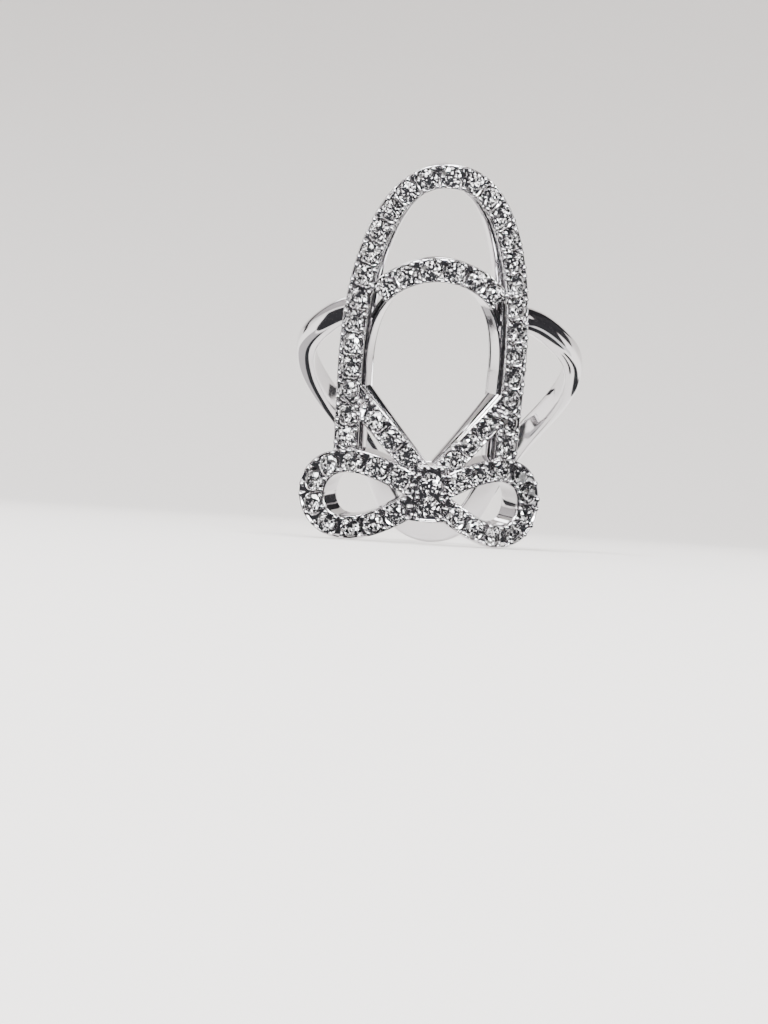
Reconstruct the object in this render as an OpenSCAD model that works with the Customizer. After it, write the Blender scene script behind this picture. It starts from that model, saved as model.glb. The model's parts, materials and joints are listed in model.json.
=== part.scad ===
// Nail ring: an open frame in the outline of a long nail, with a smile line, a ribbon and a bow set
// with round stones, and a plain finger shank behind it. Millimetres, +Z up, the front faces -Y.
// The frame is drawn upright, with z = 0 at the low point of the bow and y = 0 at the front of the bend.
// The whole ring is then leant forward until the bow and the low back of the shank stand on one plane.

/* [Nail frame] */
// Height of the frame, from the low point of the bow to the top of the arch
frame_h = 24.1; // [23:0.1:25]
// Width of the frame across its two legs
frame_w = 12; // [11.6:0.1:12.4]
// Radius of the bend of the frame round the finger
bend_r = 10.5; // [9.8:0.1:12]
// Width of every bar that carries stones
bar_w = 1.5; // [1.4:0.05:1.6]
// Depth of the frame's bars, from front to back
bar_t = 1.7; // [1.5:0.05:2]
// Roundness of the top of the arch: 2 is an ellipse, more is squarer
arch_power = 2.3; // [2:0.1:2.6]
// Height at which the legs pass into the arch
leg_h = 11; // [10:0.1:12]

/* [Smile line and window] */
// Radius of the smile line along its middle
smile_r = 5.1; // [5:0.05:5.3]
// Height of the middle of the smile line
smile_h = 17.53; // [17:0.05:18]
// Half width of the nail window between its side rails
window_half = 4.6; // [4.5:0.05:4.7]
// Width of the plain side rails
rail_w = 0.45; // [0.35:0.05:0.6]
// How far the side rails lie behind the front of the legs
rail_step = 0.55; // [0.4:0.05:0.8]

/* [Bow] */
// Width of the bow over both loops
bow_w = 15.3; // [14.8:0.1:15.8]
// Height of the middle of the knot
knot_h = 3.35; // [3.2:0.05:3.5]
// How far each loop rises and falls about its own middle
loop_rise = 2.15; // [2.05:0.05:2.25]
// How far the ends of the loops droop below the knot
loop_droop = 0.65; // [0.5:0.05:0.8]
// How far the knot stands to the right of the frame's middle
bow_mid = 0.27; // [0.15:0.05:0.35]
// Width of the knot
knot_w = 2.2; // [2.1:0.05:2.3]

/* [Shank] */
// Half width of the shank along the middle of its wall
shank_half = 8.9; // [8.6:0.1:9.2]
// Half depth of the shank along the middle of its wall
shank_deep = 8.1; // [7.8:0.1:8.6]
// Width of the shank's band
band_w = 1.6; // [1.4:0.05:1.8]
// Thickness of the shank's band
band_t = 1.2; // [1:0.05:1.4]

/* [Stones] */
// Diameter of the small round stones
stone_d = 1.25; // [1.1:0.05:1.3]
// Diameter of the two stones in the knot
knot_stone_d = 1.4; // [1.2:0.05:1.4]
// Number of stones round the arch and down its legs
arch_count = 27; // [20:1:27]
// Number of stones on the smile line
smile_count = 6; // [4:1:6]
// Number of stones on each ribbon
ribbon_count = 3; // [2:1:3]
// Number of stones on each loop of the bow
loop_count = 10; // [7:1:10]

/* [Hidden] */
silver = "#c9c7c8";
crystal = "#eef2f6";

// Stones: the parts of a cut stone for each millimetre of its diameter, and its room in the metal
table_part = 0.56;
crown_part = 0.16;
girdle_part = 0.04;
pavilion_part = 0.43;
facets = 8;
seat_gap = 0.04;
stone_lift = 0.02;

// Heights of the front of each bar over the bend, and how far each goes back behind it
smile_lift = -0.06;
ribbon_lift = -0.03;
loop_lift = 0.18;
knot_lift = 0.45;
loop_back = 1.45;
knot_back = 1.55;
rail_back = bar_t - 0.03;

// Outline of the arch and its legs, along the middle of the bar
arch_half = (frame_w - bar_w) / 2;
arch_top = frame_h - bar_w / 2;
foot_half = arch_half - 0.14;
foot_h = 5.3;
leg_stone_h = 6.55;
arch_steps = 44;

// The window's inner outline, the ribbons and the knot
window_top = smile_h - bar_w / 2;
window_mid = 11.3;
window_foot = 9.6;
rail_from = 64;
smile_turn = 49;
smile_stone_turn = 43;
ribbon_foot = [0.55, 4.6];
ribbon_top = [5, 9.36];
ribbon_stone_parts = [0.215, 0.67];
knot_low = 1.7;
knot_high = 5.3;
knot_bevel = 0.25;
knot_stone_z = [2.62, 4.12];

// The loops of the bow, by the angle round each loop
loop_half = (bow_w - bar_w) / 2;
loop_steps = 36;
loop_stone_turn = 74;
loop_end_turn = 84;
web_x = [0.8, 1.25];
web_z = [2.7, 4];
web_back = loop_back + 0.05;
web_lift = loop_lift + 0.03;

// The shank: the angle round the finger from the front, and the height of the band's middle there
SHANK_ANGLE = 0;
SHANK_HEIGHT = 1;
shank_rows = [
    [31.5, 14.7],
    [45, 14.15],
    [63, 12.85],
    [83, 11.3],
    [101, 9.45],
    [119, 7.4],
    [136, 5.1],
    [151, 2.1],
    [161, -0.7],
    [170, -1.95],
    [180, -2.35],
];
shank_mid = 9.85;
shank_drift = 0.135;
shank_steps = 5;
left_end_step = 1;
// Section of the band: depth in half thicknesses, outwards, and height in half widths
band_section = [
    [-1, -0.88], [-1, 0.88], [-0.72, 1], [0.2, 1], [0.72, 0.72],
    [1, 0.25], [1, -0.25], [0.72, -0.72], [0.2, -1], [-0.72, -1],
];

// How the ring stands: the lean that brings the back of the shank down to the bow's level, and the
// shifts that put the middle of its box over the origin
bow_rest_x = 4.625;
bow_low = 0.015;
back_h = shank_rows[len(shank_rows) - 1][SHANK_HEIGHT];
back_corner = 0.72;
bow_front = bend_r - sqrt(pow(bend_r + loop_lift, 2) - pow(bow_rest_x, 2));
back_drop = band_w / 2 - back_h + bow_low;
back_reach = shank_mid + shank_deep - back_corner * band_t / 2 - bow_front;
lean = atan(back_drop / back_reach);
arch_front = (arch_top + table_part * stone_d / 2) * sin(lean)
    + (stone_lift + (crown_part + girdle_part) * stone_d) * cos(lean);
shank_back = (shank_mid + shank_deep + band_t / 2) * cos(lean) + (band_w / 8 - back_h) * sin(lean);
stand_side = -shank_drift * shank_mid;
stand_back = (arch_front - shank_back) / 2;
stand_lift = -bow_front * sin(lean) - bow_low * cos(lean);

// A point of the bent frame: x is taken at the front of the bend, lift is outwards from it
function bent(x, z, lift) =
    let (turn = asin(x / bend_r))
    [(bend_r + lift) * sin(turn), bend_r - (bend_r + lift) * cos(turn), z];

// Lines on the frame, as rows of [x, z]
function power(value, exponent) = sign(value) * pow(abs(value), exponent);
function arch_point(turn) = [
    -arch_half * power(cos(turn), 2 / arch_power),
    leg_h + (arch_top - leg_h) * power(sin(turn), 2 / arch_power),
];
function arch_line() = [
    [-foot_half, foot_h],
    [-(foot_half + arch_half) / 2, (foot_h + leg_h) / 2],
    for (i = [0 : arch_steps]) arch_point(180 * i / arch_steps),
    [(foot_half + arch_half) / 2, (foot_h + leg_h) / 2],
    [foot_half, foot_h],
];
function smile_line(turn) = [
    for (i = [0 : 16]) let (a = turn * (i / 8 - 1))
    [smile_r * sin(a), smile_h - smile_r * (1 - cos(a))],
];
function rail_line(side) = concat(
    [for (a = [rail_from : -8 : 0])
        [side * (window_half + rail_w / 2) * power(cos(a), 2 / arch_power),
            window_mid + (window_top + rail_w / 2 - window_mid) * power(sin(a), 2 / arch_power)]],
    [[side * (window_half + rail_w / 2 - 0.1), window_foot]]
);
function ribbon_point(side, part) =
    let (foot = [bow_mid + side * ribbon_foot.x, ribbon_foot.y], top = [side * ribbon_top.x, ribbon_top.y])
    foot + (top - foot) * part;
function ribbon_line(side) = [for (i = [0 : 4]) ribbon_point(side, i / 4)];
function loop_point(side, turn) = [
    bow_mid + (side * loop_half - bow_mid) * cos(turn),
    knot_h - loop_droop * cos(turn) + loop_rise * sin(2 * turn),
];
function loop_line(side, turn) = [
    for (i = [0 : loop_steps]) loop_point(side, turn * (2 * i / loop_steps - 1)),
];

// Direction across a line at its point i, a quarter turn to the left of the way it runs
function across(line, i) =
    let (
        along = line[min(i + 1, len(line) - 1)] - line[max(i - 1, 0)],
        left = [-along.y, along.x]
    )
    left / norm(left);

// Evenly spaced places along a line, worked out from the length run up to each of its points
function run_lengths(line) = [
    for (
        i = 0, run = 0;
        i < len(line);
        run = run + (i + 1 < len(line) ? norm(line[i + 1] - line[i]) : 0), i = i + 1
    ) [run, i],
];
function at_run(line, runs, run) =
    let (i = lookup(run, runs), low = floor(i), high = min(low + 1, len(line) - 1))
    line[low] + (line[high] - line[low]) * (i - low);
function evenly(line, count) =
    let (runs = run_lengths(line), total = runs[len(line) - 1][0])
    [for (i = [0 : count - 1]) at_run(line, runs, total * i / (count - 1))];

// A row of the shank's table between its rows, as a smooth curve through them
function smooth_row(rows, s) =
    let (
        i = min(floor(s), len(rows) - 2),
        t = s - i,
        a = rows[max(i - 1, 0)],
        b = rows[i],
        c = rows[i + 1],
        d = i + 2 < len(rows) ? rows[i + 2] : [2 * c[SHANK_ANGLE] - b[SHANK_ANGLE], b[SHANK_HEIGHT]]
    )
    b + t / 2 * (c - a + t * (2 * a - 5 * b + 4 * c - d + t * (3 * (b - c) + d - a)));
function shank_point(row, side) =
    let (a = row[SHANK_ANGLE], back = shank_mid - shank_deep * cos(a))
    [side * shank_half * sin(a) + shank_drift * back, back, row[SHANK_HEIGHT]];
function shank_path() =
    let (
        last = (len(shank_rows) - 1) * shank_steps,
        rows = [for (i = [0 : last]) smooth_row(shank_rows, i / shank_steps)]
    )
    concat(
        [for (i = [left_end_step : last]) shank_point(rows[i], -1)],
        [for (i = [last - 1 : -1 : 0]) shank_point(rows[i], 1)]
    );

// A closed skin over a row of sections with the same number of corners, capped at both ends
module skin(sections) {
    corners = len(sections[0]);
    rows = len(sections);
    sides = [
        for (i = [0 : rows - 2], j = [0 : corners - 1])
        let (
            a = i * corners + j,
            b = i * corners + (j + 1) % corners,
            c = b + corners,
            d = a + corners
        )
        each [[a, c, b], [a, d, c]],
    ];
    first = [[for (j = [0 : corners - 1]) j]];
    last = [[for (j = [corners - 1 : -1 : 0]) (rows - 1) * corners + j]];
    polyhedron(points = [for (s = sections) each s], faces = concat(first, sides, last));
}

// A bar along a line of the frame, with walls that point at the axis of the bend
module bar(line, width, front, back) {
    skin([
        for (i = [0 : len(line) - 1])
        let (p = line[i], n = across(line, i) * width / 2, l = p + n, r = p - n)
        [bent(l.x, l.y, -back), bent(l.x, l.y, front), bent(r.x, r.y, front), bent(r.x, r.y, -back)],
    ]);
}

// Puts its child on the bent frame, with the child's +Z outwards
module on_frame(spot, lift) {
    translate(bent(spot.x, spot.y, lift)) rotate([90, 0, asin(spot.x / bend_r)]) children();
}

// A cut stone with its girdle at z = 0: a flat table, a crown, a girdle and a pointed pavilion
module cut_stone(d) {
    hull() {
        translate([0, 0, -pavilion_part * d]) cylinder(h = pavilion_part * d, r1 = 0, r2 = d / 2, $fn = facets);
        cylinder(h = girdle_part * d, r = d / 2, $fn = facets);
        translate([0, 0, crown_part * d]) cylinder(h = girdle_part * d, r = table_part * d / 2, $fn = facets);
    }
}

// The hollow that a stone sits in: its pavilion, opened out by the gap and carried on upwards
module stone_seat(d) {
    opened = d / 2 + seat_gap + stone_lift;
    deep = opened * pavilion_part * 2;
    hull() {
        translate([0, 0, -deep]) cylinder(h = deep, r1 = 0, r2 = opened, $fn = facets);
        cylinder(h = d / 2, r = opened, $fn = facets);
    }
}

module stones(spots, lift, d) {
    color(crystal) for (s = spots) on_frame(s, lift + stone_lift) cut_stone(d);
}

module stone_seats(spots, lift, d) {
    for (s = spots) on_frame(s, lift) stone_seat(d);
}

// Places of the stones
function arch_spots() =
    let (line = arch_line(), runs = run_lengths(line), total = runs[len(line) - 1][0], end = leg_stone_h - foot_h)
    [for (i = [0 : arch_count - 1]) at_run(line, runs, end + (total - 2 * end) * i / (arch_count - 1))];
function smile_spots() = evenly(smile_line(smile_stone_turn), smile_count);
function ribbon_spots(side) =
    let (first = ribbon_stone_parts[0], step = (ribbon_stone_parts[1] - first) / (ribbon_count - 1))
    [for (i = [0 : ribbon_count - 1]) ribbon_point(side, first + step * i)];
function loop_spots(side) = evenly(loop_line(side, loop_stone_turn), loop_count);
function knot_spots() = [for (z = knot_stone_z) [bow_mid, z]];

// The arch in the outline of the nail, with the two legs that it stands on
module nail_arch() bar(arch_line(), bar_w, 0, bar_t);

// The bar that stands for the edge of the nail's tip
module smile_bar() bar(smile_line(smile_turn), bar_w, smile_lift, bar_t + smile_lift);

// The plain rails down both sides of the window
module side_rails() for (side = [-1, 1]) bar(rail_line(side), rail_w, -rail_step, rail_back);

// The two slanting ribbons that meet over the knot
module ribbons() for (side = [-1, 1]) bar(ribbon_line(side), bar_w, ribbon_lift, bar_t - 0.1);

// The two loops of the bow, with a small web at the knot where the two ends of each loop meet
module bow_loops() for (side = [-1, 1]) {
    bar(loop_line(side, loop_end_turn), bar_w, loop_lift, loop_back);
    hull() for (x = web_x, z = web_z) {
        corner_mark(bow_mid + side * x, z, -web_back);
        corner_mark(bow_mid + side * x, z, web_lift);
    }
}

// The knot: an upright block with a bevel down both sides of its front
module knot() {
    hull() for (z = [knot_low, knot_high], side = [-1, 1]) {
        corner_mark(bow_mid + side * knot_w / 2, z, -knot_back);
        corner_mark(bow_mid + side * knot_w / 2, z, knot_lift - knot_bevel);
        corner_mark(bow_mid + side * (knot_w / 2 - knot_bevel), z, knot_lift);
    }
}

// A tiny cube that marks a corner for a hull
module corner_mark(x, z, lift) {
    translate(bent(x, z, lift)) cube(0.02, center = true);
}

// The plain band round the finger, domed outside and flat inside
module finger_shank() {
    path = shank_path();
    ends = len(path) - 1;
    skin([
        for (i = [0 : ends])
        let (
            p = path[i],
            along = path[min(i + 1, ends)] - path[max(i - 1, 0)],
            spoke = [(p.x - shank_drift * p.y) / pow(shank_half, 2), (p.y - shank_mid) / pow(shank_deep, 2), 0],
            side = cross(spoke, along),
            rise = side / norm(side) * band_w / 2,
            face = cross(along, side),
            out = face / norm(face) * band_t / 2
        )
        [for (c = band_section) p + out * c.x + rise * c.y],
    ]);
}

module metal_upright() {
    color(silver) difference() {
        union() {
            nail_arch();
            smile_bar();
            side_rails();
            ribbons();
            bow_loops();
            knot();
            finger_shank();
        }
        stone_seats(arch_spots(), 0, stone_d);
        stone_seats(smile_spots(), smile_lift, stone_d);
        for (side = [-1, 1]) {
            stone_seats(ribbon_spots(side), ribbon_lift, stone_d);
            stone_seats(loop_spots(side), loop_lift, stone_d);
        }
        stone_seats(knot_spots(), knot_lift, knot_stone_d);
    }
}

// Stands the upright ring on the bow and the low back of its shank, over the middle of its own box
module standing() translate([stand_side, stand_back, stand_lift]) rotate([lean, 0, 0]) children();

module metal() standing() metal_upright();
module arch_stones() standing() stones(arch_spots(), 0, stone_d);
module smile_stones() standing() stones(smile_spots(), smile_lift, stone_d);
module left_ribbon_stones() standing() stones(ribbon_spots(-1), ribbon_lift, stone_d);
module right_ribbon_stones() standing() stones(ribbon_spots(1), ribbon_lift, stone_d);
module left_loop_stones() standing() stones(loop_spots(-1), loop_lift, stone_d);
module right_loop_stones() standing() stones(loop_spots(1), loop_lift, stone_d);
module knot_stones() standing() stones(knot_spots(), knot_lift, knot_stone_d);

metal();
arch_stones();
smile_stones();
left_ribbon_stones();
right_ribbon_stones();
left_loop_stones();
right_loop_stones();
knot_stones();
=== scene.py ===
"""Nail ring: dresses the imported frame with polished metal, beads and cut stones, on a pale stage.

Lengths in the formulas are millimetres until a mesh is made, and angles are radians. The ring's front
is drawn upright first, bent round the finger, and then leant forward as it stands on the floor.
"""

import json
import math

import bpy
import numpy as np
from bpy.props import FloatProperty, FloatVectorProperty, IntProperty, PointerProperty
from mathutils import Matrix

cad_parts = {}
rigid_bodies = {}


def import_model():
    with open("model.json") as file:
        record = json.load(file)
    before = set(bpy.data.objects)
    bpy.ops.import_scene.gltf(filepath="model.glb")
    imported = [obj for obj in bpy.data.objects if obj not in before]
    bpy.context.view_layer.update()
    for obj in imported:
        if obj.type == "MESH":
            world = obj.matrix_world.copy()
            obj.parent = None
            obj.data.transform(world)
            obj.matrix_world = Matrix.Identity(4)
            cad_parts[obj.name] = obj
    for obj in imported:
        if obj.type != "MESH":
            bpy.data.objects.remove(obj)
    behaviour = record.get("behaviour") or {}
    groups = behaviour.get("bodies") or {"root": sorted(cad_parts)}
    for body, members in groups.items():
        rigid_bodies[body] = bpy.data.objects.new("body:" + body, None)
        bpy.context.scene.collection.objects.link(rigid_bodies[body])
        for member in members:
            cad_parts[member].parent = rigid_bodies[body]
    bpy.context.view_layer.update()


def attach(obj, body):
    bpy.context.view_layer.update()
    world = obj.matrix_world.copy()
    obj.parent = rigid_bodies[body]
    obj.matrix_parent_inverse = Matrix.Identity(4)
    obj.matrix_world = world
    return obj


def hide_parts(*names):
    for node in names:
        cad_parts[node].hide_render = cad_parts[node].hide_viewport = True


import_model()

bl_info = {
    "name": "Nail Ring",
    "version": (1, 0, 0),
    "blender": (4, 5, 0),
    "location": "View3D > Sidebar > Nail Ring",
    "description": "Dresses the frame of a stone-set nail ring",
    "category": "Object",
}

MM = 0.001

# The arch and its legs: the superellipse's power, and the heights where the legs meet it and end
ARCH_POWER = 2.3
LEG_H, FOOT_H, FOOT_IN = 11.0, 5.3, 0.14
# The smile line: its radius, the height of its top, and the angle that it turns to each side
SMILE_R, SMILE_H, SMILE_TURN = 5.1, 17.53, 49
# The window's side rails, drawn 0.16 mm further in than the part's own, as the eye finds them
WINDOW_HALF, WINDOW_MID, WINDOW_TOP, RAIL_W, RAIL_TURN = 4.44, 11.3, 16.78, 0.45, 64
RAIL_FOOT = (4.6, 9.6)
# The ribbons, from beside the bow's middle to the legs, and the knot
BOW_MID, KNOT_H = 0.27, 3.35
RIBBON_FOOT, RIBBON_TOP = (0.55, 4.6), (5.0, 9.36)
KNOT_LOW, KNOT_HIGH, KNOT_BEVEL, KNOT_EDGE = 1.7, 5.3, 0.25, 0.06
# The bow's loops: how far they droop, how far they rise and fall, and where they end, in degrees
LOOP_DROOP, LOOP_RISE, LOOP_TURN = 0.65, 2.15, 84
# The stones: how many each field has, and where on its line the field begins and ends
ARCH_COUNT, SMILE_COUNT, RIBBON_COUNT, LOOP_COUNT = 27, 6, 3, 10
LEG_STONE_H, SMILE_STONE_TURN, LOOP_STONE_TURN = 6.55, 43, 74
RIBBON_STONE_PARTS, KNOT_STONE_Z = (0.215, 0.67), (2.62, 4.12)
# How far each bar's front stands out from the bend, and the stones' girdles from the bar's front
SMILE_LIFT, RIBBON_LIFT, LOOP_LIFT, KNOT_LIFT = -0.06, -0.03, 0.18, 0.45
STONE_LIFT = 0.02
# The shank: rows of the angle round the finger and the band's height there. Then how far it drifts to the
# right for each millimetre of depth, and the depth of its middle
SHANK_ROWS = np.array([
    [31.5, 14.7], [45, 14.15], [63, 12.85], [83, 11.3], [101, 9.45], [119, 7.4],
    [136, 5.1], [151, 2.1], [161, -0.7], [170, -1.95], [180, -2.35],
])
SHANK_DRIFT, SHANK_MID = 0.135, 9.85
# Each bar: its front's lift, how much less deep than the arch it is, and its milled channel, by the wall's
# side and how deep the channel reaches
BARS = {
    "arch": (0.0, 0.0, (-1, 0.62)),
    "smile": (SMILE_LIFT, 0.06, (1, 0.5)),
    "left_ribbon": (RIBBON_LIFT, 0.1, (-1, 0.5)),
    "right_ribbon": (RIBBON_LIFT, 0.1, (1, 0.35)),
    "left_loop": (LOOP_LIFT, 0.25, (0, 0)),
    "right_loop": (LOOP_LIFT, 0.25, (0, 0)),
}


def linear(code):
    """Linear red, green and blue of an sRGB hex colour such as #c8c7ca."""
    parts = [int(code[i : i + 2], 16) / 255 for i in (1, 3, 5)]
    return tuple(p / 12.92 if p <= 0.04045 else ((p + 0.055) / 1.055) ** 2.4 for p in parts)


# What a user would change


class FrontSizes(bpy.types.PropertyGroup):
    """Sizes of the stone-set front."""

    height: FloatProperty(
        name="Height", description="From the bow's low point to the arch's top",
        default=0.0241, unit="LENGTH",
    )
    width: FloatProperty(name="Width", description="Across the two legs", default=0.012, unit="LENGTH")
    bend: FloatProperty(
        name="Bend", description="Radius of the front's bend round the finger",
        default=0.0105, unit="LENGTH",
    )
    bar: FloatProperty(
        name="Bar width", description="Width of the bars that carry stones",
        default=0.0015, unit="LENGTH",
    )
    deep: FloatProperty(
        name="Bar depth", description="Depth of the bars, front to back",
        default=0.0017, unit="LENGTH",
    )
    edge: FloatProperty(
        name="Edge radius", description="Rounding left on the bars' edges by polishing",
        default=0.00008, unit="LENGTH",
    )
    bow: FloatProperty(
        name="Bow width", description="Width over both loops of the bow",
        default=0.0153, unit="LENGTH",
    )
    knot: FloatProperty(name="Knot width", description="Width of the knot", default=0.0022, unit="LENGTH")


class ShankSizes(bpy.types.PropertyGroup):
    """Sizes of the plain finger shank."""

    half_width: FloatProperty(
        name="Half width", description="From side to side, to the middle of the band's wall",
        default=0.0089, unit="LENGTH",
    )
    half_depth: FloatProperty(
        name="Half depth", description="From front to back, to the middle of the band's wall",
        default=0.0081, unit="LENGTH",
    )
    band: FloatProperty(name="Band width", description="Width of the band", default=0.0016, unit="LENGTH")
    thick: FloatProperty(name="Thickness", description="Thickness of the band", default=0.0012, unit="LENGTH")


class StoneSizes(bpy.types.PropertyGroup):
    """Sizes of the stones and of the beads that hold them."""

    stone: FloatProperty(
        name="Stone", description="Diameter of the small stones", default=0.00125, unit="LENGTH",
    )
    knot_stone: FloatProperty(
        name="Knot stone", description="Diameter of the two stones in the knot",
        default=0.0014, unit="LENGTH",
    )
    bead: FloatProperty(name="Bead", description="Diameter of a bead", default=0.00036, unit="LENGTH")
    seed: IntProperty(name="Turn", description="Seed for how each stone is turned in its seat", default=7)


class Finishes(bpy.types.PropertyGroup):
    """Colours of the finishes, of the painted shade in the metal's hollows, and of the stage."""

    plate: FloatVectorProperty(
        name="Rhodium", description="Rhodium plate", subtype="COLOR", size=3, default=linear("#d9d7d9"),
    )
    # The colour below is painted shade, not the plate's own: the metal is darkened towards it in the drilled
    # seats, the milled channels and the rails' grooves, where shade would fall
    hollow: FloatVectorProperty(
        name="Hollows", description="Rhodium in the drilled hollows",
        subtype="COLOR", size=3, default=linear("#454346"),
    )
    stone: FloatVectorProperty(
        name="Stone", description="Clear cubic zirconia", subtype="COLOR", size=3, default=linear("#fdfdff"),
    )
    paper: FloatVectorProperty(
        name="Backdrop", description="Pale paper of the stage",
        subtype="COLOR", size=3, default=linear("#e9e6e4"),
    )


def front():
    """The front's sizes in millimetres."""
    s = bpy.context.scene.nail_front
    return {k: getattr(s, k) / MM for k in ("height", "width", "bend", "bar", "deep", "edge", "bow", "knot")}


def band():
    """The shank's half width, half depth, band width and thickness in millimetres."""
    s = bpy.context.scene.nail_shank
    return [getattr(s, k) / MM for k in ("half_width", "half_depth", "band", "thick")]


def gems():
    """The stones' sizes in millimetres."""
    s = bpy.context.scene.nail_stones
    return {k: getattr(s, k) / MM for k in ("stone", "knot_stone", "bead")}


# The ring's lines, as in the part's source


def on_bend(x, z, lift):
    """A point of the bent front: with a = asin(x / R), it is ((R + lift) sin a, R - (R + lift) cos a, z)."""
    bend = front()["bend"]
    a = np.arcsin(np.clip(x / bend, -0.999, 0.999))
    return np.stack([(bend + lift) * np.sin(a), bend - (bend + lift) * np.cos(a), z + 0 * a], -1)


def stance():
    """The lean that brings the back of the shank down to the bow's level, and the shift that puts the
    middle of the ring over the origin: the slope of the line from the bow's low point to the shank's."""
    # Blender keeps the sizes as single floats, so they are rounded here
    f = front() | gems()
    bend, height, bar, stone = (round(f[k], 5) for k in ("bend", "height", "bar", "stone"))
    deep, wide, thick = (round(v, 5) for v in band()[1:])
    # Where the bow's loops touch the floor, and how rounded the corner is that the shank rests on
    bow_rest_x, bow_low, back_corner = 4.625, 0.015, 0.72
    back_low, back_y = SHANK_ROWS[-1, 1], SHANK_MID + deep
    bow_front = bend - math.sqrt((bend + LOOP_LIFT) ** 2 - bow_rest_x**2)
    drop = wide / 2 - back_low + bow_low
    lean = math.atan(drop / (back_y - back_corner * (thick / 2) - bow_front))
    c, s = math.cos(lean), math.sin(lean)
    # The box's front is the upper edge of the top stone's table, by the half table and the crown as parts
    # of the diameter, and its back is the shank's low bend
    half_table, crown = 0.28, 0.2
    table_h = height - bar / 2 + half_table * stone
    arch_front = table_h * s + (STONE_LIFT + crown * stone) * c
    shank_back = (back_y + thick / 2) * c + (wide / 8 - back_low) * s
    shift = [-SHANK_DRIFT * SHANK_MID, (arch_front - shank_back) / 2, -bow_front * s - bow_low * c]
    return lean, np.array(shift)


def stand(p):
    """Leans upright points about the X axis by the ring's lean, and shifts them over the floor."""
    lean, shift = stance()
    c, s = math.cos(lean), math.sin(lean)
    return np.stack([p[..., 0], p[..., 1] * c - p[..., 2] * s, p[..., 1] * s + p[..., 2] * c], -1) + shift


def power(value, exponent):
    """The value's size to a power, with its sign kept."""
    return np.sign(value) * np.abs(value) ** exponent


def arch_line(n=1200):
    """The legs and the arch: a superellipse over two nearly straight legs."""
    f = front()
    half, top = (f["width"] - f["bar"]) / 2, f["height"] - f["bar"] / 2
    foot = half - FOOT_IN
    t = np.linspace(0, math.pi, n)
    x = -half * power(np.cos(t), 2 / ARCH_POWER)
    z = LEG_H + (top - LEG_H) * power(np.sin(t), 2 / ARCH_POWER)
    leg = np.array([[(foot + half) / 2, (FOOT_H + LEG_H) / 2], [foot, FOOT_H]])
    return np.concatenate([leg[::-1] * [-1, 1], np.stack([x, z], -1), leg])


def smile_line(turn, n=200):
    """An arc of the smile line's radius, whose top is at its height."""
    a = np.radians(np.linspace(-turn, turn, n))
    return np.stack([SMILE_R * np.sin(a), SMILE_H - SMILE_R * (1 - np.cos(a))], -1)


def rail_line(side, n=120):
    """The side rail: part of a superellipse round the window, then straight down to the window's foot."""
    a = np.radians(np.linspace(RAIL_TURN, 0, n))
    x = (WINDOW_HALF + RAIL_W / 2) * power(np.cos(a), 2 / ARCH_POWER)
    z = WINDOW_MID + (WINDOW_TOP + RAIL_W / 2 - WINDOW_MID) * power(np.sin(a), 2 / ARCH_POWER)
    return np.concatenate([np.stack([x, z], -1), [RAIL_FOOT]]) * [side, 1]


def ribbon_line(side):
    """The ribbon's middle: a straight line from over the knot to the leg."""
    foot = [BOW_MID + RIBBON_FOOT[0] * side, RIBBON_FOOT[1]]
    return np.linspace(foot, [RIBBON_TOP[0] * side, RIBBON_TOP[1]], 81)


def loop_line(side, turn, n=400):
    """A loop of the bow, of angle t: x runs from the knot's middle out to the bow's half width by cos t,
    and z is the knot's height, less the droop times cos t, plus the rise times sin 2t."""
    half = (front()["bow"] - front()["bar"]) / 2
    t = np.radians(np.linspace(-turn, turn, n))
    x = BOW_MID + (side * half - BOW_MID) * np.cos(t)
    return np.stack([x, KNOT_H - LOOP_DROOP * np.cos(t) + LOOP_RISE * np.sin(2 * t)], -1)


def line_of(bar):
    """The whole line of a bar, by the bar's name."""
    side = -1 if bar.startswith("left") else 1
    if bar == "arch":
        return arch_line()
    if bar == "smile":
        return smile_line(SMILE_TURN)
    return ribbon_line(side) if bar.endswith("ribbon") else loop_line(side, LOOP_TURN)


def run_of(line):
    """The length run up to each point of a line."""
    return np.concatenate([[0], np.cumsum(np.linalg.norm(np.diff(line, axis=0), axis=1))])


def at_runs(line, runs):
    """The points of a line at the given lengths along it."""
    run = run_of(line)
    return np.stack([np.interp(runs, run, line[:, 0]), np.interp(runs, run, line[:, 1])], -1)


def spots_of(bar):
    """The places of a bar's stones on the front, or of the knot's."""
    if bar == "knot":
        return np.array([[BOW_MID, z] for z in KNOT_STONE_Z])
    if bar.endswith("ribbon"):
        line = line_of(bar)
        return line[0] + (line[-1] - line[0]) * np.linspace(*RIBBON_STONE_PARTS, RIBBON_COUNT)[:, None]
    line, count, end = {
        "arch": lambda: (arch_line(), ARCH_COUNT, LEG_STONE_H - FOOT_H),
        "smile": lambda: (smile_line(SMILE_STONE_TURN), SMILE_COUNT, 0),
        "left_loop": lambda: (loop_line(-1, LOOP_STONE_TURN), LOOP_COUNT, 0),
        "right_loop": lambda: (loop_line(1, LOOP_STONE_TURN), LOOP_COUNT, 0),
    }[bar]()
    return at_runs(line, np.linspace(end, run_of(line)[-1] - end, count))


# Meshes


def grid_faces(rows, cols, wrap_cols=True):
    """Quads of a grid of points, row by row, closed across its columns if asked."""
    i, j = np.meshgrid(np.arange(rows - 1), np.arange(cols if wrap_cols else cols - 1), indexing="ij")
    a, b = i * cols + j, i * cols + (j + 1) % cols
    return np.stack([a, b, b + cols, a + cols], -1).reshape(-1, 4)


def tube_caps(rows, cols):
    """The two end faces of a closed section carried along rows."""
    return [np.arange(cols), np.arange(cols)[::-1] + (rows - 1) * cols]


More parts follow.
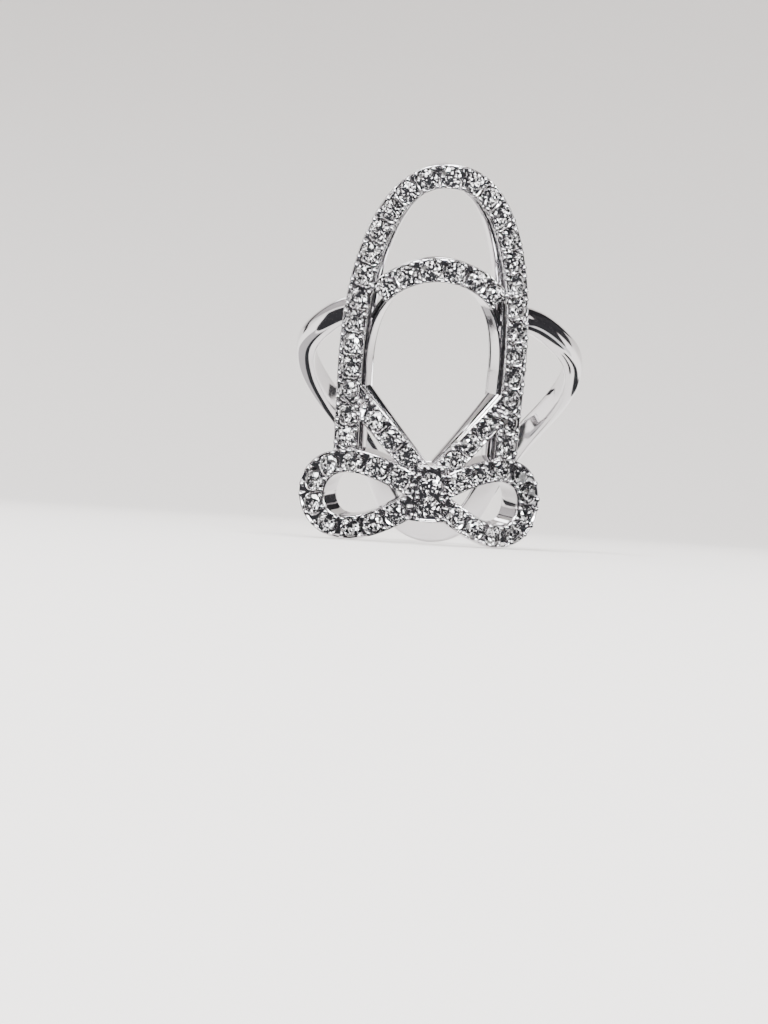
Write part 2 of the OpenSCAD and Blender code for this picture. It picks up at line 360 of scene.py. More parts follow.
def new_mesh(name, points, quads, caps=(), smooth=True, tris=()):
    """A mesh from points in millimetres, quads, end caps and triangles."""
    faces = [np.asarray(quads, int).reshape(-1, 4)]
    faces += [np.asarray(ring, int)[None] for ring in caps]
    faces += [np.asarray(tris, int).reshape(-1, 3)]
    loops = np.concatenate([part.ravel() for part in faces])
    sizes = np.concatenate([np.full(len(part), part.shape[1]) for part in faces])
    mesh = bpy.data.meshes.new(name)
    mesh.vertices.add(len(points))
    mesh.vertices.foreach_set("co", (np.asarray(points) * MM).ravel())
    mesh.loops.add(len(loops))
    mesh.loops.foreach_set("vertex_index", loops)
    mesh.polygons.add(len(sizes))
    mesh.polygons.foreach_set("loop_start", np.concatenate([[0], np.cumsum(sizes)[:-1]]))
    mesh.polygons.foreach_set("loop_total", sizes)
    mesh.polygons.foreach_set("use_smooth", np.full(len(sizes), smooth))
    mesh.update(calc_edges=True)
    mesh.validate()
    return mesh


def outward(mesh):
    """Turns the mesh's faces outwards if the volume that they enclose comes out negative."""
    co = np.empty(len(mesh.vertices) * 3, np.float32)
    mesh.vertices.foreach_get("co", co)
    mesh.calc_loop_triangles()
    tri = np.empty(len(mesh.loop_triangles) * 3, np.int32)
    mesh.loop_triangles.foreach_get("vertices", tri)
    p = co.reshape(-1, 3)[tri.reshape(-1, 3)]
    if np.einsum("ij,ij->i", p[:, 0], np.cross(p[:, 1], p[:, 2])).sum() < 0:
        mesh.flip_normals()
    return mesh


def finish_piece(name, mesh, material, node):
    """Puts the mesh in the scene as a piece that rides on the ring and stands for a CAD node."""
    piece = bpy.data.objects.new(name, outward(mesh))
    bpy.context.scene.collection.objects.link(piece)
    mesh.materials.append(material)
    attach(piece, "root")
    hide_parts(node)
    return piece


def set_hollow(mesh, values):
    """Keeps, for each point, how far its colour is darkened by painted shade, from 0 to 1; the metal is also
    duller by as much.
    """
    layer = mesh.attributes.new("hollow", "FLOAT", "POINT")
    layer.data.foreach_set("value", np.asarray(values, np.float32).ravel())


def smooth_step(value, low, high):
    """Rises smoothly from 0 at low to 1 at high."""
    t = np.clip((value - low) / (high - low), 0, 1)
    return t * t * (3 - 2 * t)


def stone_distance(points, spots, lift):
    """The distance of each point from the axis of the nearest stone."""
    centre = on_bend(spots[:, 0], spots[:, 1], lift)
    a = np.arcsin(spots[:, 0] / front()["bend"])
    axis = np.stack([np.sin(a), -np.cos(a), 0 * a], -1)
    gap = points[..., None, :] - centre
    along = (gap * axis).sum(-1, keepdims=True) * axis
    return np.linalg.norm(gap - along, axis=-1).min(-1)


# A seat is wider than its stone by its room all round, and its cone begins at its step's depth and falls
# at its slope to a drilled hole. Metal that lies deeper is painted darker, as shade, from the first depth to
# the second
SEAT_ROOM, SEAT_STEP, SEAT_SLOPE, DRILL = 0.03, 0.06, 0.92, 0.6
SHADE_FROM, SHADE_TO = 0.1, 0.45


def seat_drop(distance, stone_d):
    """Depth of a stone's seat: a cone from the stone's edge, down to a drilled hole in its middle."""
    edge = stone_d / 2 + SEAT_ROOM
    cone = np.maximum(SEAT_STEP + SEAT_SLOPE * (edge - distance), SEAT_STEP)
    drill = DRILL * smooth_step(-distance, -0.3, -0.2)
    return smooth_step(-distance, -edge - 0.03, -edge + 0.03) * cone + drill


# A bar's rows lie a step apart. Its front sinks by the trough's depth between two thin rims, its wall is
# milled in by the channel's depth, and a plain rail falls by the groove's. A wall has seven points
ROW_STEP, TROUGH, RIM, CHANNEL, GROOVE, WALL = 0.042, 0.15, 0.1, 0.13, 0.5, 7


def bar_mesh(name, line, width, lift, back, spots=(), channel=(0, 0), groove=0):
    """A bar along a line: its section is a box with rounded edges, carried along the line with its walls
    at right angles to it and pointing at the axis of the bend. The front sinks into a trough between two
    thin rims, cut down round the beads, and into a cone at each stone. A plain rail's front falls into a
    groove on one side, given by its sign. A channel, given by its side and how deep it reaches, is milled
    along one wall just under the rim."""
    run = run_of(line)
    rows = int(run[-1] / ROW_STEP) + 2
    p = at_runs(line, np.linspace(0, run[-1], rows))
    along = np.gradient(p, axis=0)
    along /= np.linalg.norm(along, axis=1)[:, None]
    across = np.stack([-along[:, 1], along[:, 0]], -1)
    h, r = width / 2, front()["edge"]

    # The section, all round: u is the place across it and v the height over the bend. The front has its
    # points closest together at the rims, and a milled wall has them where the channel begins and ends
    arc = np.radians(np.linspace(0, 90, 5))
    top = (h - r) * np.sin(np.radians(np.linspace(-90, 90, 43 if len(spots) else 15)))[1:-1]
    side, reach = channel
    if side:
        wall = np.array([0.12, 0.15, 0.2, reach - 0.05, reach, reach + 0.03, 0.8 * back + 0.2 * reach])
    else:
        wall = np.linspace(0.2, 0.8, WALL) * back
    cut_in = CHANNEL * np.array([0, 0.5, 1, 1, 0.5, 0, 0])
    shade = np.array([0, 0.7, 1, 1, 0.7, 0, 0])
    u = np.concatenate([
        -h + cut_in[::-1] * (side < 0), -h + r - r * np.cos(arc), top,
        h - r + r * np.sin(arc), h - cut_in * (side > 0),
        h - r + r * np.cos(arc), np.linspace(h - r, -h + r, 5)[1:-1], -h + r - r * np.sin(arc),
    ])
    v = np.concatenate([
        lift - wall[::-1], lift - r + r * np.sin(arc), np.full(len(top), lift),
        lift - r + r * np.cos(arc), lift - wall,
        -back + r - r * np.sin(arc), np.full(3, -back), -back + r - r * np.cos(arc),
    ])
    x = p[:, None, 0] + across[:, None, 0] * u
    z = p[:, None, 1] + across[:, None, 1] * u
    high = np.broadcast_to(v, x.shape).copy()
    # Painted shade, from 0 to 1: the milled channel's wall is darkened, most where it cuts in deepest
    hollow = np.zeros_like(high)
    hollow[:, :WALL] = shade[::-1] * (side < 0)
    second_wall = WALL + len(arc) + len(top) + len(arc)
    hollow[:, second_wall : second_wall + WALL] = shade * (side > 0)

    # The front sinks by how far each of its points lies from the nearest stone and from the rims. Between
    # the stones a low ridge is left
    on_top = v >= lift - 1e-6
    if len(spots):
        stone_d = gems()["stone"]
        flat = on_bend(x[:, on_top], z[:, on_top], np.full(x[:, on_top].shape, lift))
        away = stone_distance(flat, spots, lift)
        ridge = 0.45 * np.clip(away - stone_d / 2 - SEAT_ROOM, 0, 0.16)
        cut = (TROUGH - ridge) * (1 - smooth_step(np.abs(u[on_top]), h - RIM - 0.06, h - RIM))
        drop = np.maximum(cut, seat_drop(away, stone_d))
        high[:, on_top] -= drop
        # Painted shade: the deeper the front sinks into the seats and the trough, the darker its colour
        hollow[:, on_top] = 0.6 * smooth_step(drop, SHADE_FROM, SHADE_TO)
    elif groove:
        sunk = smooth_step(groove * u[on_top], -0.09, 0.03)
        high[:, on_top] -= GROOVE * sunk
        # Painted shade: the groove's sunk front is darkened
        hollow[:, on_top] = sunk
    points = stand(on_bend(x, z, high))
    cols = len(u)
    mesh = new_mesh(name, points.reshape(-1, 3), grid_faces(rows, cols), tube_caps(rows, cols))
    set_hollow(mesh, hollow)
    return mesh


def smooth_rows(rows, count):
    """Places on a smooth curve through rows of an angle and a height: between two rows, the cubic whose
    slope at each is half the step from the row before it to the row after it. Past the last row, at 180
    degrees, the curve goes on as in a mirror."""
    place = np.linspace(0, len(rows) - 1, count)
    i = np.minimum(place.astype(int), len(rows) - 2)
    t = (place - i)[:, None]
    rows = np.concatenate([rows, [[360 - rows[-2, 0], rows[-2, 1]]]])
    a, b, c, d = rows[np.maximum(i - 1, 0)], rows[i], rows[i + 1], rows[i + 2]
    return b + t / 2 * (c - a + t * (2 * a - 5 * b + 4 * c - d + t * (3 * (b - c) + d - a)))


# The shank's ends are rounded off over the nose's length. The left end stops behind its leg, some steps
# along the curve, and the right one runs on into the side of its leg
NOSE, LEFT_STEPS, RIGHT_ON = 0.7, 3, 0.5


def shank_mesh(name):
    """The finger shank: a section, domed outside and flat inside, carried round a slanting ellipse. The
    height comes from a smooth curve through a row of angles and heights, and the ellipse drifts sideways
    with depth."""
    wide, deep, band_w, thick = band()
    curve = smooth_rows(SHANK_ROWS, 240)
    angle = np.radians(np.concatenate([curve[:, 0], 360 - curve[-2::-1, 0]]))
    height = np.concatenate([curve[:, 1], curve[-2::-1, 1]])
    y = SHANK_MID - deep * np.cos(angle)
    p = np.stack([-wide * np.sin(angle) + SHANK_DRIFT * y, y, height], -1)[LEFT_STEPS:]
    last = p[-1] - p[-2]
    p = np.concatenate([p, [p[-1] + last * RIGHT_ON / np.linalg.norm(last)]])
    y = p[:, 1]
    along = np.gradient(p, axis=0)
    spoke = np.stack([(p[:, 0] - SHANK_DRIFT * y) / wide**2, (y - SHANK_MID) / deep**2, 0 * y], -1)
    side = np.cross(spoke, along)
    rise = side / np.linalg.norm(side, axis=1)[:, None] * band_w / 2
    face = np.cross(along, side)
    out = face / np.linalg.norm(face, axis=1)[:, None] * thick / 2
    # Section: an outside that is a flat superellipse, and a flat inside with small round edges
    w = np.linspace(0, math.pi, 25)
    dome = np.stack([-0.55 + 1.55 * np.sin(w) ** 0.8, power(-np.cos(w), 0.8)], -1)
    edge = np.array([[-0.8, 0.97], [-0.95, 0.9], [-1, 0.78], [-1, 0.4]])
    section = np.concatenate([dome, edge, [[-1, 0]], edge[::-1] * [1, -1]])
    # The rows lie closer together where the ends are rounded off
    run = run_of(p)
    end = NOSE * (1 - np.cos(np.linspace(0, math.pi / 2, 12)))
    between = run[(run > NOSE + 0.05) & (run < run[-1] - NOSE - 0.05)]
    fine = np.concatenate([end, between, run[-1] - end[::-1]])
    p, out, rise = (np.stack([np.interp(fine, run, v) for v in part.T], -1) for part in (p, out, rise))
    nose = np.clip(np.minimum(fine, fine[-1] - fine) / NOSE, 0, 1)
    nose = np.sqrt(1 - (1 - nose) ** 2)[:, None, None] * 0.94 + 0.06
    points = p[:, None] + (out[:, None] * section[:, 0, None] + rise[:, None] * section[:, 1, None]) * nose
    rows, cols = len(p), len(section)
    mesh = new_mesh(name, stand(points).reshape(-1, 3), grid_faces(rows, cols), tube_caps(rows, cols))
    set_hollow(mesh, np.zeros(rows * cols))
    return mesh


def knot_mesh(name):
    """The knot: an upright block whose front is a grid that sinks into a cone at each of its two stones.
    From the front's rim a bevel and then plain walls run back, as rings of the rim moved outwards."""
    flat_half, r = front()["knot"] / 2 - KNOT_BEVEL, KNOT_EDGE
    mid, half_h = (KNOT_LOW + KNOT_HIGH) / 2, (KNOT_HIGH - KNOT_LOW) / 2
    n_x, n_z = 41, 87
    a, b = np.linspace(-1, 1, n_x), np.linspace(-1, 1, n_z)
    gx, gz = np.meshgrid(np.sin(a * math.pi / 2), power(b, 0.9), indexing="ij")
    x, z = gx * flat_half, mid + gz * half_h
    lift = np.full(x.shape, KNOT_LIFT)
    edge = np.minimum(flat_half - np.abs(x), half_h - np.abs(z - mid))
    round_off = r - np.sqrt(np.clip(r * r - np.clip(r - edge, 0, r) ** 2, 0, None))
    away = stone_distance(on_bend(x + BOW_MID, z, lift), spots_of("knot"), KNOT_LIFT)
    # A thin rim is left all round the front: the trough begins inside it, and the seats cut into it
    trough = 0.1 * smooth_step(edge, 0.07, 0.13)
    drop = np.maximum(trough, seat_drop(away, gems()["knot_stone"]) * smooth_step(edge, 0.02, 0.07))
    points = [on_bend(x + BOW_MID, z, lift - round_off - drop).reshape(-1, 3)]
    index = np.arange(n_x * n_z).reshape(n_x, n_z)
    rim = np.concatenate([index[:, 0], index[-1, 1:], index[-2::-1, -1], index[0, -2:0:-1]])
    rx, rz = x.ravel()[rim], z.ravel()[rim]
    quads = [grid_faces(n_x, n_z, False)[:, [0, 3, 2, 1]]]
    count, last = n_x * n_z, rim
    # Out over the bevel, round its lower edge, and back down the wall, in parts of the bevel
    for out, depth in ((0.1, 0.1), (0.5, 0.5), (0.9, 0.9), (0.97, 0.98), (1, 1.1), (1, 2), (1, 5), (1, 7.9)):
        wide = rx * (flat_half + out * KNOT_BEVEL) / flat_half
        down = r + depth * (KNOT_BEVEL - r / 2)
        points.append(on_bend(wide + BOW_MID, rz, KNOT_LIFT - down + 0 * wide))
        ring = np.arange(len(rim)) + count
        quads.append(np.stack([last, ring, np.roll(ring, -1), np.roll(last, -1)], -1))
        last, count = ring, count + len(rim)
    mesh = new_mesh(name, stand(np.concatenate(points)), np.concatenate(quads), [last])
    # Painted shade: the knot's front is darkened where it sinks into the seats
    dark = 0.4 * smooth_step(drop.ravel(), SHADE_FROM, SHADE_TO)
    set_hollow(mesh, np.concatenate([dark, np.zeros(count - n_x * n_z)]))
    return mesh


def brilliant(d, crown=0.155, pavilion=0.43, table=0.285, girdle=0.03, star=0.40, low=0.2):
    """A round brilliant of diameter d with its girdle at 0: an eight-sided table, 8 star, 8 kite and 16
    upper facets, a girdle of 16 faces, and below it 16 lower facets and 8 long kites to a point. The
    star and lower points lie on the planes of the kites. All sizes are parts of the diameter."""
    c = math.cos(math.pi / 8)
    k = np.arange(8) * math.pi / 4
    g = np.arange(16) * math.pi / 8
    star_z = crown * (1 - (star * c - table) / (0.5 - table))
    low_z = -pavilion * (1 - low * c / 0.5)

    def ring(radius, angle, z):
        return np.stack([radius * np.cos(angle), radius * np.sin(angle), np.full(len(angle), z)], -1)

    points = np.concatenate([
        ring(table, k, crown + girdle / 2), ring(star, k + math.pi / 8, star_z + girdle / 2),
        ring(0.5, g, girdle / 2), ring(0.5, g, -girdle / 2),
        ring(low, k + math.pi / 8, low_z - girdle / 2), [[0, 0, -pavilion - girdle / 2]],
    ]) * d
    # The first point of the star ring, the girdle's upper and lower rings, the lower ring and the culet
    st, up, dn, lo, culet = 8, 16, 32, 48, 56
    i, n = np.arange(8), np.arange(16)
    j, h = (i + 1) % 8, (i - 1) % 8
    g0, g1, g2 = 2 * i, 2 * i + 1, (2 * i + 2) % 16
    tris = np.concatenate([
        np.stack([i, st + i, j], -1),
        np.stack([st + i, up + g0, up + g1], -1), np.stack([st + i, up + g1, up + g2], -1),
        np.stack([lo + i, dn + g1, dn + g0], -1), np.stack([lo + i, dn + g2, dn + g1], -1),
    ])
    quads = np.concatenate([
        np.stack([i, st + h, up + g0, st + i], -1),
        np.stack([up + n, dn + n, dn + (n + 1) % 16, up + (n + 1) % 16], -1),
        np.stack([np.full(8, culet), lo + i, dn + g0, lo + h], -1),
    ])
    return points, quads, tris, [i]


def bead_shape(d):
    """A bead: a dome of revolution on a short peg, with a pole at its top and a flat foot."""
    a = np.arange(8) * math.pi / 4
    foot_z = -0.9 * d
    e = np.radians([-35, 5, 38, 66])
    r = np.concatenate([[0.5 * d], np.cos(e) * d / 2])
    z = np.concatenate([[foot_z], np.sin(e) * d / 2])
    rings = np.stack([r[:, None] * np.cos(a), r[:, None] * np.sin(a), np.repeat(z[:, None], 8, 1)], -1)
    points = np.concatenate([rings.reshape(-1, 3), [[0, 0, d / 2], [0, 0, foot_z]]])
    i = np.arange(8)
    j = (i + 1) % 8
    dome = np.stack([32 + i, 32 + j, np.full(8, 40)], -1)
    base = np.stack([j, i, np.full(8, 41)], -1)
    return points, grid_faces(5, 8), np.concatenate([dome, base]), []


def placed(points, spots, lift, turns, tips):
    """Copies of a shape at each spot: its +Z is set along the bend's radius, tipped by two small slopes,
    and it is turned about its own axis."""
    a = np.arcsin(np.clip(spots[:, 0] / front()["bend"], -0.999, 0.999))
    axis = np.stack([np.sin(a), -np.cos(a), 0 * a], -1)
    side = np.stack([np.cos(a), np.sin(a), 0 * a], -1)
    up = np.broadcast_to([0.0, 0.0, 1.0], side.shape)
    if tips is not None:
        axis = axis + side * tips[:, :1] + up * tips[:, 1:]
        axis /= np.linalg.norm(axis, axis=1)[:, None]
        side = np.cross(axis, up)
        side /= np.linalg.norm(side, axis=1)[:, None]
        up = np.cross(side, axis)
    c, s = np.cos(turns)[:, None], np.sin(turns)[:, None]
    first, second = side * c + up * s, up * c - side * s
    centre = on_bend(spots[:, 0], spots[:, 1], lift)
    return (centre[:, None] + first[:, None] * points[None, :, :1] + second[:, None] * points[None, :, 1:2]
            + axis[:, None] * points[None, :, 2:])


def many(name, shape, spots, lift, turns, smooth, tips=None, sizes=None):
    """One mesh of copies of a shape, given as points, quads, triangles and flat caps."""
    points, quads, tris, caps = shape
    copies = placed(points, spots, lift, turns, tips)
    if sizes is not None:
        centre = on_bend(spots[:, 0], spots[:, 1], lift)[:, None]
        copies = centre + (copies - centre) * sizes[:, None, None]
    step = (np.arange(len(spots)) * len(points))[:, None, None]
    caps = [ring + k for k in step.ravel() for ring in caps]
    return new_mesh(name, stand(copies).reshape(-1, 3), quads + step, caps, smooth, tris + step)


# Finishes


def add_node(tree, kind, settings=None, **links):
    """Adds a shader node, sets its properties and sockets by name, and links sockets given as (node,
    output)."""
    node = tree.nodes.new(kind)
    for key, value in (settings or {}).items():
        if hasattr(node, key):
            setattr(node, key, value)
        else:
            node.inputs[key].default_value = value
    for key, (source, output) in links.items():
        tree.links.new(source.outputs[output], node.inputs[key.replace("_", " ")])
    return node


def noise(tree, grain, detail, roughness=0.5):
    """A noise on Object coordinates, whose grain is given in millimetres."""
    where = add_node(tree, "ShaderNodeTexCoord")
    settings = {"Scale": 1 / (grain * MM), "Detail": detail, "Roughness": roughness}
    return add_node(tree, "ShaderNodeTexNoise", settings, Vector=(where, "Object"))


def two_tones(tree, first, second, part):
    """A colour between two, by a part given as (node, output)."""
    tone = add_node(tree, "ShaderNodeMix", {"data_type": "RGBA"})
    for socket, colour in ((6, first), (7, second)):
        tone.inputs[socket].default_value = (*colour, 1)
    tree.links.new(part[0].outputs[part[1]], tone.inputs[0])
    return tone


def new_material(name):
    """An empty node material with its output."""
    material = bpy.data.materials.new(name)
    material.use_nodes = True
    tree = material.node_tree
    tree.nodes.clear()
    return material, tree, tree.nodes.new("ShaderNodeOutputMaterial")


def rhodium(name="polished_rhodium", dullest=0.11):
    """Rhodium plate over cast and hand-polished silver: a cool white mirror, whose reflections waver a
    little over each millimetre or two, with a faint haze from the polishing wheel. In the drilled seats under
    the stones, the channels and the grooves, its colour is painted darker as shade, and it is duller there,
    as less polished metal. The burnished beads spread their glints."""
    if name in bpy.data.materials:
        return bpy.data.materials[name]
    colours = bpy.context.scene.nail_finishes
    material, tree, output = new_material(name)
    # Painted shade: the colour goes from the plate to the darker shade colour by each point's painted shade,
    # and the roughness rises with it
    hollow = add_node(tree, "ShaderNodeAttribute", {"attribute_name": "hollow"})
    tone = two_tones(tree, colours.plate, colours.hollow, (hollow, "Fac"))
    haze_range = {"From Min": 0.3, "From Max": 0.7, "To Min": dullest * 0.5, "To Max": dullest}
    rough = add_node(tree, "ShaderNodeMapRange", haze_range, Value=(noise(tree, 0.12, 3.0, 0.6), "Fac"))
    dull = add_node(tree, "ShaderNodeMath", {"operation": "MULTIPLY_ADD"})
    tree.links.new(hollow.outputs["Fac"], dull.inputs[0])
    dull.inputs[1].default_value = 0.2
    tree.links.new(rough.outputs["Result"], dull.inputs[2])
    waver_size = {"Strength": 0.25, "Distance": 0.03 * MM}
    waver = add_node(tree, "ShaderNodeBump", waver_size, Height=(noise(tree, 1.6, 2.0, 0.45), "Fac"))
    metal = add_node(tree, "ShaderNodeBsdfPrincipled", {"Metallic": 1.0}, Normal=(waver, "Normal"))
    tree.links.new(tone.outputs[2], metal.inputs["Base Color"])
    tree.links.new(dull.outputs[0], metal.inputs["Roughness"])
    tree.links.new(metal.outputs[0], output.inputs[0])
    return material


def zirconia():
    """Clear cubic zirconia, cut and polished: colourless, with a high index that throws light back out of
    its facets, and a faint film where it was last wiped."""
    name = "clear_cubic_zirconia"
    if name in bpy.data.materials:
        return bpy.data.materials[name]
    material, tree, output = new_material(name)
    film_range = {"From Min": 0.35, "From Max": 0.75, "To Min": 0.0, "To Max": 0.03}
    film = add_node(tree, "ShaderNodeMapRange", film_range, Value=(noise(tree, 0.5, 2.0), "Fac"))
    glass = {"IOR": 2.17, "Transmission Weight": 1.0}
    stone = add_node(tree, "ShaderNodeBsdfPrincipled", glass, Roughness=(film, "Result"))
    stone.inputs["Base Color"].default_value = (*bpy.context.scene.nail_finishes.stone, 1)
    tree.links.new(stone.outputs[0], output.inputs[0])
    return material


def paper():
    """Pale matt backdrop paper, with a faint fibre in its tone."""
    material, tree, output = new_material("pale_matt_paper")
    colour = np.array(bpy.context.scene.nail_finishes.paper)
    tone = two_tones(tree, colour * 0.985, colour, (noise(tree, 2, 4.0), "Fac"))
    sheet = add_node(tree, "ShaderNodeBsdfPrincipled", {"Roughness": 0.9, "Specular IOR Level": 0.2})
    tree.links.new(tone.outputs[2], sheet.inputs["Base Color"])
    tree.links.new(sheet.outputs[0], output.inputs[0])
    return material


def card_paper(name, code):
    """Matt card for the stage: almost no light comes back from the black, and a third of it from the grey."""
    material, tree, output = new_material(name)
    card = add_node(tree, "ShaderNodeBsdfPrincipled", {"Roughness": 1.0, "Specular IOR Level": 0.0})
    card.inputs["Base Color"].default_value = (*linear(code), 1)
    tree.links.new(card.outputs[0], output.inputs[0])
    return material


def painted_glow(name, strength):
    """An even white glow on a pane that is no lamp: painted light, for panes seen only in polished surfaces.
    """
    material, tree, output = new_material(name)
    glow = add_node(tree, "ShaderNodeEmission", {"Strength": strength})
    glow.inputs["Color"].default_value = (1, 1, 1, 1)
    tree.links.new(glow.outputs[0], output.inputs[0])
    return material


# The steps that build the ring


class NAILRING_OT_bars(bpy.types.Operator):
    """Make the arch, smile line, ribbons and bow loops that carry the stones, and the side rails"""

    bl_idname = "nailring.bars"
    bl_label = "Stone-set bars"

    def execute(self, context):
        f = front()
        for bar, (lift, thinner, channel) in BARS.items():
            name, back = bar + "_bar", f["deep"] - thinner
            mesh = bar_mesh(name, line_of(bar), f["bar"], lift, back, spots_of(bar), channel)
            finish_piece(name, mesh, rhodium(), "metal")
        for name, side in (("left_side_rail", -1), ("right_side_rail", 1)):
            mesh = bar_mesh(name, rail_line(side), RAIL_W, -0.55, f["deep"] - 0.03, groove=side)
            finish_piece(name, mesh, rhodium(), "metal")
        return {"FINISHED"}


class NAILRING_OT_knot(bpy.types.Operator):
    """Make the knot of the bow"""

    bl_idname = "nailring.knot"
    bl_label = "Knot"

    def execute(self, context):
        finish_piece("knot_block", knot_mesh("knot_block"), rhodium(), "metal")
        return {"FINISHED"}


class NAILRING_OT_shank(bpy.types.Operator):
    """Make the plain finger shank"""

    bl_idname = "nailring.shank"
    bl_label = "Finger shank"

    def execute(self, context):
        finish_piece("finger_shank", shank_mesh("finger_shank"), rhodium(), "metal")
        return {"FINISHED"}


def bead_spots(bar):
    """Four beads round each stone of a bar, near both rims: they pair up in the gaps between the stones.
    Where the bar runs on past its last stones, further beads fill it, by its rims and along its middle."""
    spots, whole = spots_of(bar), line_of(bar)
    line = at_runs(whole, np.linspace(0, run_of(whole)[-1], 3000))
    stones = run_of(line)[np.linalg.norm(line[None] - spots[:, None], axis=2).argmin(1)]
    pitch = np.abs(np.diff(stones)).mean()
    first, last = stones[0], stones[-1]
    by_rims, in_middle = [], []
    if bar.endswith("ribbon"):
        by_rims = [last + 0.6 * pitch, last + 0.9 * pitch, first - 0.6 * pitch]
        in_middle = [last + 0.68 * pitch, last + 0.95 * pitch]
    elif bar.endswith("loop"):
        by_rims = [first - 0.6 * pitch, last + 0.6 * pitch]
        in_middle = [first - 0.62 * pitch, last + 0.62 * pitch]
    places = (stones[:, None] + np.array([-0.32, 0.32]) * pitch).ravel()
    places = np.concatenate([places, by_rims])
    p = at_runs(line, places)
    along = at_runs(line, places + 0.02) - at_runs(line, places - 0.02)
    along /= np.linalg.norm(along, axis=1)[:, None]
    across = np.stack([-along[:, 1], along[:, 0]], -1) * (front()["bar"] / 2 - 0.19)
    return np.concatenate([p + across, p - across, at_runs(line, in_middle)])


def knot_bead_spots():
    """Beads beside the knot's two stones, near its walls, and across its two ends."""
    x = front()["knot"] / 2 - KNOT_BEVEL - 0.1
    beside = [[side * x, z] for side in (-1, 1) for z in (2.08, 3.2, 3.54, 4.68)]
    corners = [[x, z] for x in (-0.64, 0.64) for z in (1.86, 5.12)]
    return np.array(beside + corners + [[-0.22, 5.14], [0.22, 5.14]]) + [BOW_MID, 0]


class NAILRING_OT_beads(bpy.types.Operator):
    """Raise the beads that hold the stones"""

    bl_idname = "nailring.beads"
    bl_label = "Beads"

    def execute(self, context):
        shape = bead_shape(gems()["bead"])
        burnished = rhodium("burnished_rhodium", 0.17)
        random = np.random.default_rng(context.scene.nail_stones.seed)
        for bar, (lift, _, _) in BARS.items():
            name, spots = bar + "_beads", bead_spots(bar)
            spots = spots + random.normal(0, 0.014, spots.shape)
            turns = random.uniform(0, 1, len(spots))
            sizes = random.normal(1, 0.05, len(spots))
            mesh = many(name, shape, spots, lift + 0.03, turns, True, sizes=sizes)
            finish_piece(name, mesh, burnished, "metal")
        spots = knot_bead_spots()
        mesh = many("knot_beads", shape, spots, KNOT_LIFT + 0.02, np.zeros(len(spots)), True)
        finish_piece("knot_beads", mesh, burnished, "metal")
        return {"FINISHED"}


class NAILRING_OT_stones(bpy.types.Operator):
    """Set the cut stones"""

    bl_idname = "nailring.stones"
    bl_label = "Stones"

    def execute(self, context):
        random = np.random.default_rng(context.scene.nail_stones.seed)
        lifts = {bar: lift for bar, (lift, _, _) in BARS.items()} | {"knot": KNOT_LIFT}
        for bar, lift in lifts.items():
            name, spots = bar + "_brilliants", spots_of(bar)
            shape = brilliant(gems()["knot_stone" if bar == "knot" else "stone"])
            turns = random.uniform(0, math.pi / 4, len(spots))
            tips = random.uniform(-0.05, 0.05, spots.shape)
            mesh = many(name, shape, spots, lift + STONE_LIFT, turns, False, tips)
            finish_piece(name, mesh, zirconia(), bar + "_stones")
        return {"FINISHED"}


# The stage, in metres: the height that lights look at, which is the middle of the ring
LOOK_H = 0.012


def revolved(profile, turns, closed):
    """Points in millimetres and quads: a profile of (radius, height) in metres, carried round by turns."""
    r, h = np.array(profile).T
    points = [r[:, None] * np.cos(turns), r[:, None] * np.sin(turns), np.repeat(h[:, None], len(turns), 1)]
    return np.stack(points, -1).reshape(-1, 3) / MM, grid_faces(len(r), len(turns), closed)


def set_floor():
    """Floor and backdrop: a round sheet, flat in its middle, that rises all round in a quarter circle."""
    radius, flat, top, turns = 0.9, 0.34, 1.8, 96
    t = np.linspace(0, math.pi / 2, 25)
    r = np.concatenate([[0.01, 0.2], flat + radius * np.sin(t), [flat + radius]])
    h = np.concatenate([[0, 0], radius * (1 - np.cos(t)), [top]])
    points, quads = revolved(np.stack([r, h], -1), np.arange(turns) * 2 * math.pi / turns, True)
    floor = bpy.data.objects.new("floor", new_mesh("floor", points, quads[:, ::-1], [np.arange(turns)]))
    bpy.context.scene.collection.objects.link(floor)
    floor.data.materials.append(paper())


def seen_in_polish(name, mesh, material):
    """Sets a card or a glowing pane on the stage that shows in polished surfaces only: a painted reflection,
    which the camera does not see and which casts no shadow.
    """
    card = bpy.data.objects.new(name, mesh)
    bpy.context.scene.collection.objects.link(card)
    mesh.materials.append(material)
    card.visible_camera = card.visible_diffuse = card.visible_shadow = False
    return card


